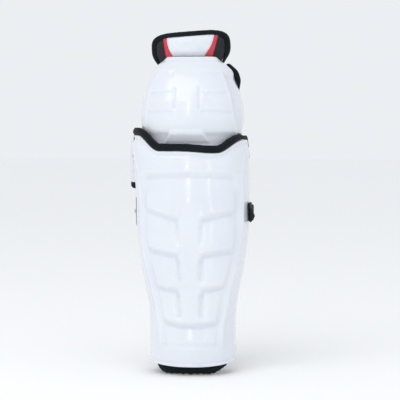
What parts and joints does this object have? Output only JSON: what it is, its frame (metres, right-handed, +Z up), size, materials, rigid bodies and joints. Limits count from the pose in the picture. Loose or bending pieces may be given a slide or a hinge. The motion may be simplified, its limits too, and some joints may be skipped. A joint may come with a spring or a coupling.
{
  "type": "hockey shin guard",
  "caption": "Moulded shin guard with a ribbed shin shell, rocking knee cap, padded thigh flap, calf wing, foam liner and elastic straps.",
  "frame": {"origin": "bottom centre of the bounding box, on the surface the foot cuff stands on", "axes": "+Z up the leg, -Y towards the front of the shin, +X to the right of a viewer in front"},
  "size_m": [0.1757, 0.1458, 0.4691],
  "materials": {
    "white_shell": "moulded polyethylene, high gloss",
    "white_vinyl": "coated vinyl, semi gloss",
    "red_vinyl": "coated vinyl, semi gloss",
    "black_vinyl": "coated vinyl, fine grain",
    "black_fabric": "woven nylon over foam",
    "lining": "brushed knit lining",
    "foam": "closed-cell foam",
    "hook_loop": "hook-and-loop tape",
    "elastic": "ribbed elastic webbing",
    "rivet_steel": "nickel-plated rivet",
    "white_washer": "moulded nylon"
  },
  "bodies": {
    "shin_guard": {"shin_shell": "white_shell", "shin_edge_roll": "black_fabric", "shin_liner_foam": "foam", "shin_liner_cover": "lining", "calf_pad_left": "lining", "calf_pad_center": "lining", "calf_pad_right": "lining", "liner_hook_strip_lower": "hook_loop", "liner_hook_strip_upper": "hook_loop", "liner_foot_cuff": "black_fabric", "knee_rivet_left": "rivet_steel", "knee_rivet_right": "rivet_steel", "knee_spacer_left": "white_washer", "knee_spacer_right": "white_washer", "wing_hinge_strip": "elastic", "wing_rivet_lower": "rivet_steel", "wing_rivet_upper": "rivet_steel", "upper_strap_anchor": "white_vinyl", "strap_rivet": "rivet_steel", "strap_loop_patch": "hook_loop", "lower_strap_webbing": "elastic"},
    "knee_cap": {"knee_cap_shell": "white_shell", "knee_liner_foam": "foam", "knee_liner_cover": "lining", "knee_edge_roll_left": "black_fabric", "knee_edge_roll_right": "black_fabric", "flap_hinge_strip": "elastic"},
    "thigh_flap": {"flap_foam": "foam", "flap_lining": "lining", "flap_white_panel": "white_vinyl", "flap_red_stripe_left": "red_vinyl", "flap_red_stripe_right": "red_vinyl", "flap_side_panel_left": "black_vinyl", "flap_side_panel_right": "black_vinyl", "flap_binding": "black_fabric"},
    "calf_wing": {"wing_skin": "white_vinyl", "wing_foam": "foam", "wing_lining": "lining", "wing_binding": "black_fabric"},
    "upper_strap": {"upper_strap_webbing": "elastic"},
    "strap_tab": {"strap_hook_tab": "hook_loop", "strap_pull_tab": "black_vinyl"}
  },
  "joints": [
    {"name": "knee_pivot", "type": "hinge", "parent": "shin_guard", "child": "knee_cap", "pos_m": [0, 0, 0.3], "axis": [-1, 0, 0], "range_deg": [-2, 22], "stiffness_Nm_per_rad": 3},
    {"name": "thigh_flap_fold", "type": "hinge", "parent": "knee_cap", "child": "thigh_flap", "pos_m": [0, -0.015, 0.43], "axis": [-1, 0, 0], "range_deg": [-6, 26], "stiffness_Nm_per_rad": 0.6},
    {"name": "calf_wing_open", "type": "hinge", "parent": "shin_guard", "child": "calf_wing", "pos_m": [-0.08, 0.014, 0.285], "axis": [0, 0, 1], "range_deg": [0, 50], "stiffness_Nm_per_rad": 0.3},
    {"name": "strap_swing", "type": "hinge", "parent": "shin_guard", "child": "upper_strap", "pos_m": [-0.0817, 0.0205, 0.221], "axis": [0, 0, 1], "range_deg": [0, 75]},
    {"name": "strap_tab_peel", "type": "hinge", "parent": "upper_strap", "child": "strap_tab", "pos_m": [0.0817, 0.0205, 0.221], "axis": [0, 0, 1], "range_deg": [0, 90]}
  ]
}
